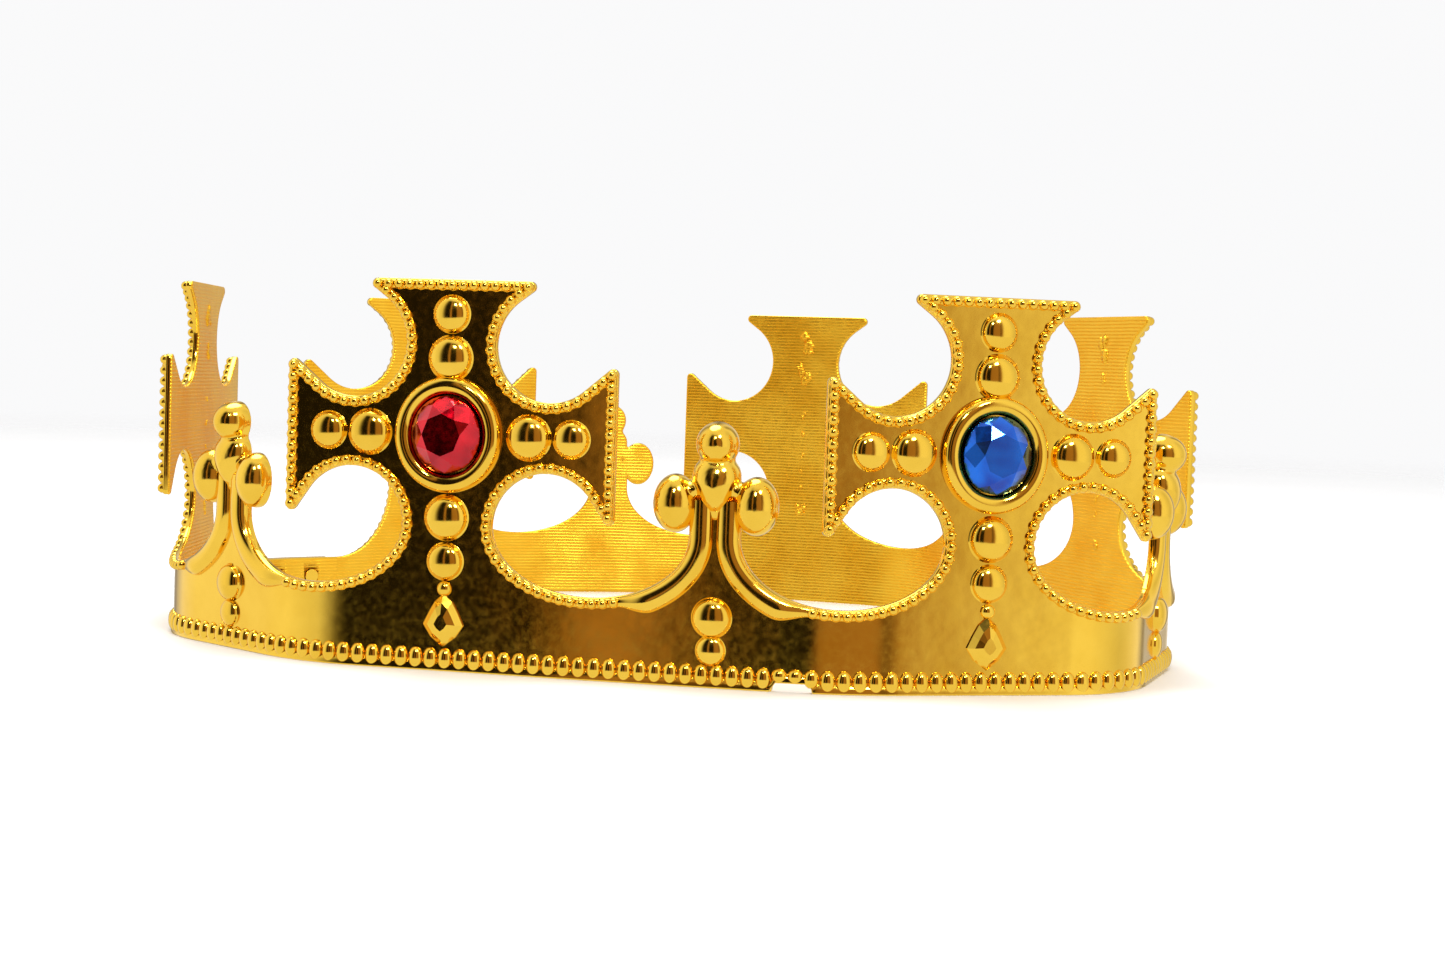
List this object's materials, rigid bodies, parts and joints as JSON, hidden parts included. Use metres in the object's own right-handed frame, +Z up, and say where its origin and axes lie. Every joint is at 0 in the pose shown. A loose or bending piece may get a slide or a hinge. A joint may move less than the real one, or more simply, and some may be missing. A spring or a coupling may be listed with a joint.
{
  "type": "toy crown",
  "caption": "Toy king's crown: a gold plastic ring with crosses, fleurs-de-lis, beaded borders and oval gems, closed by an adjustable strap.",
  "frame": {"origin": "centre of the footprint, on the surface that the crown stands on", "axes": "+Z up, the front (a fleur between two crosses) faces -Y, +X to the viewer's right"},
  "size_m": [0.1974, 0.158, 0.066],
  "materials": {
    "metallised_gold": "vacuum-metallised gold, mirror gloss outside",
    "red_acrylic": "clear red, polished",
    "blue_acrylic": "clear blue, polished",
    "clear_adhesive": "clear, glossy"
  },
  "bodies": {
    "root": {"adhesive_back": "clear_adhesive", "adhesive_back_left": "clear_adhesive", "adhesive_front_left": "clear_adhesive", "adhesive_front_right": "clear_adhesive", "adhesive_left": "clear_adhesive", "adhesive_right": "clear_adhesive", "closure_strap": "metallised_gold", "closure_tab": "metallised_gold", "cross_back": "metallised_gold", "cross_back_left": "metallised_gold", "cross_front_left": "metallised_gold", "cross_front_right": "metallised_gold", "cross_left": "metallised_gold", "cross_right": "metallised_gold", "fleur_back": "metallised_gold", "fleur_back_right": "metallised_gold", "fleur_front": "metallised_gold", "fleur_front_left": "metallised_gold", "fleur_right": "metallised_gold", "gem_back": "blue_acrylic", "gem_back_left": "red_acrylic", "gem_front_left": "red_acrylic", "gem_front_right": "blue_acrylic", "gem_left": "blue_acrylic", "gem_right": "red_acrylic", "headband": "metallised_gold"}
  },
  "joints": []
}
